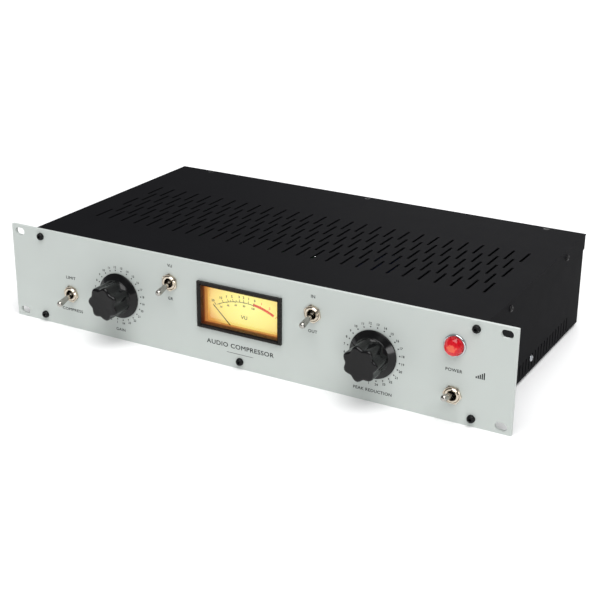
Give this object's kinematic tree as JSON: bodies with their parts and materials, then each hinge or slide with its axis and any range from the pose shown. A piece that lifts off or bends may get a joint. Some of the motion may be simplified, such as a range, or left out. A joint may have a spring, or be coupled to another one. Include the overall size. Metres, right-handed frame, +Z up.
{
  "type": "rack compressor",
  "caption": "Two-unit rack levelling compressor: pale front panel with knobs, toggle switches, backlit meter and jewel lamp, on a vented black chassis.",
  "frame": {"origin": "middle of the four rack slots, on the rear face of the front panel", "axes": "+X to the right seen from the front, +Y to the back through the chassis, +Z up"},
  "size_m": [0.4826, 0.2668, 0.0882],
  "materials": {
    "panel_paint": "satin paint",
    "black_powder": "fine texture powder coat",
    "black_screw": "black oxide",
    "plain_screw": "zinc plated",
    "phenolic": "polished",
    "nickel": "bright nickel",
    "satin_nickel": "satin nickel",
    "steel": "plain",
    "laminate": "phenolic laminate",
    "switch_case": "moulded",
    "solder_lug": "tinned brass",
    "bezel_plastic": "moulded",
    "window": "clear",
    "scale_card": "backlit",
    "needle_paint": "painted",
    "copper": "enamelled wire",
    "bulb_glass": "warm",
    "chrome": "polished",
    "jewel": "red faceted",
    "socket_black": "moulded",
    "board": "fibreglass",
    "ceramic": "glazed",
    "valve_glass": "clear",
    "can": "drawn",
    "core_steel": "varnished",
    "winding_tape": "polyester tape",
    "cap_sleeve": "shrink sleeve",
    "wire": "pvc"
  },
  "bodies": {
    "root": {"front_panel": "panel_paint", "base_tray": "black_powder", "rear_panel": "black_powder", "top_cover": "black_powder", "panel_screws": "black_screw", "cover_screws": "black_screw", "chassis_screws": "plain_screw", "gain_attenuator": "steel", "peak_attenuator": "steel", "attenuator_wafers": "laminate", "attenuator_nuts": "nickel", "limit_switch": "switch_case", "meter_switch": "switch_case", "bypass_switch": "switch_case", "power_switch": "switch_case", "switch_bushings": "nickel", "switch_nuts": "nickel", "switch_terminals": "solder_lug", "meter_bezel": "bezel_plastic", "meter_window": "window", "meter_scale": "scale_card", "meter_case": "socket_black", "meter_movement": "steel", "lamp_bulbs": "bulb_glass", "lamp_bezel": "chrome", "lamp_jewel": "jewel", "lamp_nut": "nickel", "lamp_socket": "steel", "mains_inlet": "socket_black", "inlet_blades": "nickel", "input_shell": "black_screw", "input_insert": "socket_black", "output_shell": "black_screw", "output_pins": "solder_lug", "connector_screws": "black_screw", "circuit_board": "board", "board_standoffs": "solder_lug", "valve_sockets": "ceramic", "valves": "valve_glass", "opto_cell": "can", "signal_transformers": "core_steel", "power_transformer": "winding_tape", "transformer_clamp": "core_steel", "filter_capacitors": "cap_sleeve", "wiring_looms": "wire"},
    "gain_control": {"gain_knob": "phenolic", "gain_grub_screw": "plain_screw", "gain_shaft": "steel"},
    "peak_control": {"peak_knob": "phenolic", "peak_grub_screw": "plain_screw", "peak_shaft": "steel"},
    "limit_toggle": {"limit_lever": "satin_nickel"},
    "meter_toggle": {"meter_lever": "satin_nickel"},
    "bypass_toggle": {"bypass_lever": "satin_nickel"},
    "power_toggle": {"power_lever": "satin_nickel"},
    "needle": {"meter_needle": "needle_paint", "meter_coil": "copper"},
    "fuse_carrier": {"fuse_drawer": "socket_black", "mains_fuse": "bulb_glass"},
    "latch": {"input_latch": "steel"}
  },
  "joints": [
    {"name": "gain_turn", "type": "hinge", "parent": "root", "child": "gain_control", "pos_m": [-0.1238, -0.003, -0.0023], "axis": [0, 1, 0], "range_deg": [-30, 315]},
    {"name": "peak_turn", "type": "hinge", "parent": "root", "child": "peak_control", "pos_m": [0.1238, -0.003, -0.0023], "axis": [0, 1, 0], "range_deg": [-105, 240]},
    {"name": "limit_throw", "type": "hinge", "parent": "root", "child": "limit_toggle", "pos_m": [-0.177, -0.0025, -0.0113], "axis": [-1, 0, 0], "range_deg": [0, 27]},
    {"name": "meter_throw", "type": "hinge", "parent": "root", "child": "meter_toggle", "pos_m": [-0.0692, -0.0025, 0.0208], "axis": [-1, 0, 0], "range_deg": [0, 27]},
    {"name": "bypass_throw", "type": "hinge", "parent": "root", "child": "bypass_toggle", "pos_m": [0.0692, -0.0025, 0.0208], "axis": [-1, 0, 0], "range_deg": [0, 27]},
    {"name": "power_throw", "type": "hinge", "parent": "root", "child": "power_toggle", "pos_m": [0.1922, -0.0025, -0.0208], "axis": [1, 0, 0], "range_deg": [0, 27]},
    {"name": "needle_swing", "type": "hinge", "parent": "root", "child": "needle", "pos_m": [0, 0.0046, -0.0227], "axis": [0, 1, 0], "range_deg": [0, 93], "stiffness_Nm_per_rad": 0.00002, "springref_deg": -17.19},
    {"name": "fuse_slide", "type": "slide", "parent": "root", "child": "fuse_carrier", "axis": [0, 1, 0], "range_m": [0, 0.018]},
    {"name": "latch_push", "type": "slide", "parent": "root", "child": "latch", "axis": [0, -1, 0], "range_m": [0, 0.0016], "stiffness_N_per_m": 600, "springref_m": -0.001}
  ]
}
